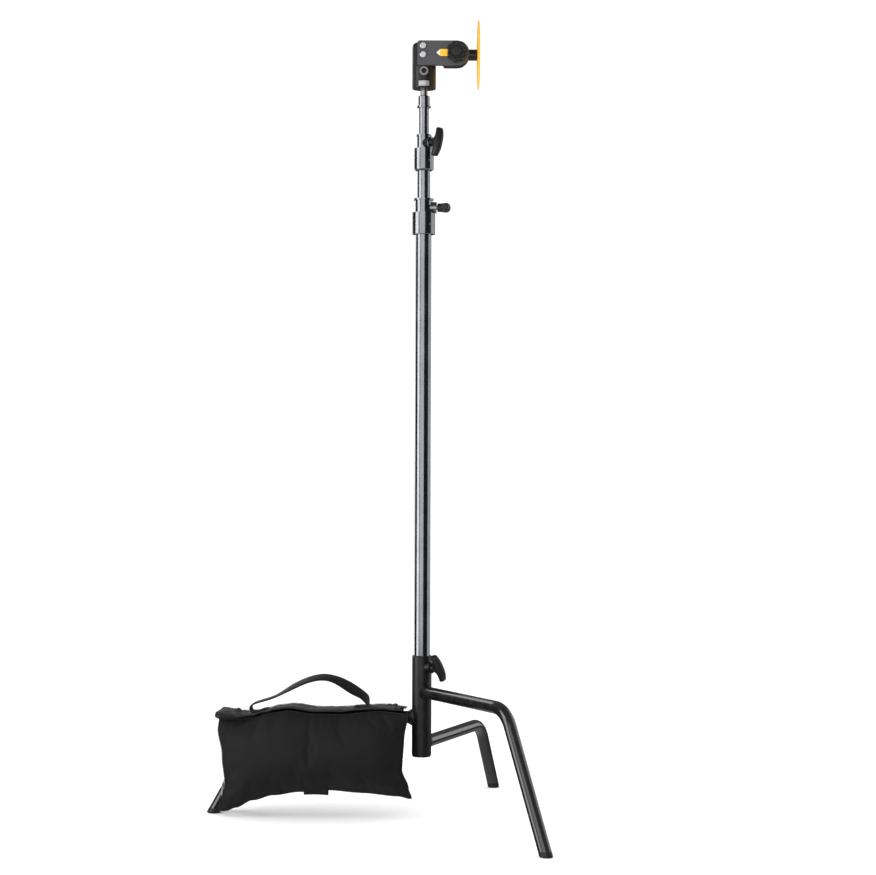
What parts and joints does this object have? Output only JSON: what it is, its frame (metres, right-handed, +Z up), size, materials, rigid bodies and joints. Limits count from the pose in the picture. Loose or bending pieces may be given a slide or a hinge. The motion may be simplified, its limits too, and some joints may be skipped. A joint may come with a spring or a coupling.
{
  "type": "c stand",
  "caption": "Studio C-stand: swinging bent legs on a hub, lift-out column, telescoping risers with T-handle clamps, tilting round-plate head and saddle sandbag.",
  "frame": {"origin": "on the column's axis, at the floor under the hub", "axes": "+Z up along the column; +X to the side that the head's round plate faces; -Y is the front, with the head's clamp knob; the sandbag is at -X"},
  "size_m": [0.7406, 0.851, 1.7468],
  "materials": {
    "black_chrome": "gloss",
    "black_enamel": "gloss",
    "black_cast": "satin",
    "grey_cast": "satin",
    "bright_steel": "satin",
    "zinc_steel": "satin",
    "brass": "satin",
    "nylon_black": "matte",
    "nylon_white": "matte",
    "foot_plastic": "matte",
    "knob_plastic": "satin",
    "yellow_disc": "satin",
    "yellow_plastic": "gloss",
    "plate_grey": "satin",
    "bag_nylon": "matte",
    "bag_webbing": "matte"
  },
  "bodies": {
    "base": {"hub_tube": "zinc_steel", "hub_top_sleeve": "black_cast", "hub_bottom_ring": "black_cast", "thrust_washers": "nylon_white", "high_leg_tube": "black_enamel", "high_leg_foot": "foot_plastic"},
    "low_leg": {"low_leg_sleeve": "black_cast", "low_leg_tube": "black_enamel", "low_leg_foot": "foot_plastic"},
    "mid_leg": {"mid_leg_sleeve": "black_cast", "mid_leg_tube": "black_enamel", "mid_leg_foot": "foot_plastic"},
    "sandbag": {"bag_front_pouch": "bag_nylon", "bag_rear_pouch": "bag_nylon", "bag_saddle": "bag_nylon", "bag_handle": "bag_webbing", "bag_pull_tab": "bag_webbing"},
    "hub_plug": {"hub_clamp_plug": "brass"},
    "hub_knob": {"hub_t_screw": "zinc_steel", "hub_t_handle": "black_cast"},
    "column": {"column_tube": "black_chrome", "column_spigot": "zinc_steel", "column_collar": "black_chrome", "column_collar_screws": "zinc_steel", "column_bush": "nylon_black"},
    "column_plug": {"column_clamp_plug": "brass"},
    "column_knob": {"column_t_screw": "zinc_steel", "column_t_handle": "black_cast"},
    "riser_1": {"riser_1_tube": "black_chrome", "riser_1_piston": "nylon_black", "riser_1_collar": "black_chrome", "riser_1_collar_screws": "zinc_steel", "riser_1_bush": "nylon_black"},
    "riser_1_plug": {"riser_1_clamp_plug": "brass"},
    "riser_1_knob": {"riser_1_t_screw": "zinc_steel", "riser_1_t_handle": "black_cast"},
    "riser_2": {"riser_2_tube": "black_chrome", "riser_2_piston": "nylon_black", "riser_2_stop_collar": "black_chrome", "riser_2_pin": "bright_steel", "riser_2_cross_pin": "zinc_steel"},
    "head": {"head_housing": "grey_cast", "head_bush": "brass", "head_lock_ring": "bright_steel", "head_cheek": "grey_cast", "head_cheek_screws": "bright_steel", "head_pointer": "yellow_plastic", "head_blank_plate": "plate_grey"},
    "head_plug": {"head_clamp_plug": "brass"},
    "head_screw": {"head_lock_screw": "zinc_steel"},
    "tilt": {"tilt_block": "black_cast", "tilt_friction_washer": "nylon_black", "tilt_pivot_bolt": "zinc_steel", "tilt_stub": "black_cast", "tilt_disc": "yellow_disc", "tilt_disc_screw": "bright_steel"},
    "tilt_washer": {"tilt_knob_washer": "bright_steel"},
    "tilt_knob": {"tilt_knob": "knob_plastic", "tilt_knob_insert": "brass"}
  },
  "joints": [
    {"name": "low_leg_swing", "type": "hinge", "parent": "base", "child": "low_leg", "pos_m": [0, 0, 0.1626], "axis": [0, 0, 1], "range_deg": [-126, 20]},
    {"name": "mid_leg_swing", "type": "hinge", "parent": "base", "child": "mid_leg", "pos_m": [0, 0, 0.2197], "axis": [0, 0, 1], "range_deg": [-20, 38]},
    {"name": "bag_lift", "type": "slide", "parent": "mid_leg", "child": "sandbag", "axis": [0, 0, 1], "range_m": [0, 0.25]},
    {"name": "hub_plug_slide", "type": "slide", "parent": "base", "child": "hub_plug", "axis": [0.7431, -0.6691, 0], "range_m": [0, 0.006]},
    {"name": "hub_knob_turn", "type": "hinge", "parent": "hub_plug", "child": "hub_knob", "pos_m": [0, 0, 0.3306], "axis": [0.7431, -0.6691, 0], "range_deg": [0, 1440]},
    {"name": "column_lift", "type": "slide", "parent": "base", "child": "column", "axis": [0, 0, 1], "range_m": [0, 0.19]},
    {"name": "column_plug_slide", "type": "slide", "parent": "column", "child": "column_plug", "axis": [1, 0, 0], "range_m": [0, 0.006]},
    {"name": "column_knob_turn", "type": "hinge", "parent": "column_plug", "child": "column_knob", "pos_m": [0, 0, 1.3377], "axis": [1, 0, 0], "range_deg": [0, 1440]},
    {"name": "riser_1_slide", "type": "slide", "parent": "column", "child": "riser_1", "axis": [0, 0, 1], "range_m": [-0.06, 0.75]},
    {"name": "riser_1_plug_slide", "type": "slide", "parent": "riser_1", "child": "riser_1_plug", "axis": [0.6691, -0.7431, 0], "range_m": [0, 0.006]},
    {"name": "riser_1_knob_turn", "type": "hinge", "parent": "riser_1_plug", "child": "riser_1_knob", "pos_m": [0, 0, 1.4781], "axis": [0.6691, -0.7431, 0], "range_deg": [0, 1440]},
    {"name": "riser_2_slide", "type": "slide", "parent": "riser_1", "child": "riser_2", "axis": [0, 0, 1], "range_m": [-0.0585, 0.8]},
    {"name": "head_pan", "type": "hinge", "parent": "riser_2", "child": "head", "pos_m": [0, 0, 1.6338], "axis": [0, 0, 1], "continuous": true},
    {"name": "head_plug_slide", "type": "slide", "parent": "head", "child": "head_plug", "axis": [0, -1, 0], "range_m": [0, 0.006]},
    {"name": "head_screw_turn", "type": "hinge", "parent": "head_plug", "child": "head_screw", "pos_m": [0, 0, 1.6338], "axis": [0, -1, 0], "range_deg": [0, 1440]},
    {"name": "disc_tilt", "type": "hinge", "parent": "head", "child": "tilt", "pos_m": [0.072, -0.003, 1.6723], "axis": [0, -1, 0], "range_deg": [-50, 90]},
    {"name": "tilt_washer_slide", "type": "slide", "parent": "tilt", "child": "tilt_washer", "axis": [0, -1, 0], "range_m": [0, 0.006]},
    {"name": "tilt_knob_turn", "type": "hinge", "parent": "tilt_washer", "child": "tilt_knob", "pos_m": [0.072, -0.003, 1.6723], "axis": [0, -1, 0], "range_deg": [0, 1440]}
  ],
  "couplings": [
    {"joint": "hub_plug_slide", "follows": "hub_knob_turn", "m_per_rad": 0.00023873},
    {"joint": "column_plug_slide", "follows": "column_knob_turn", "m_per_rad": 0.00023873},
    {"joint": "riser_1_plug_slide", "follows": "riser_1_knob_turn", "m_per_rad": 0.00023873},
    {"joint": "head_plug_slide", "follows": "head_screw_turn", "m_per_rad": 0.00023873},
    {"joint": "tilt_washer_slide", "follows": "tilt_knob_turn", "m_per_rad": 0.00023873}
  ]
}
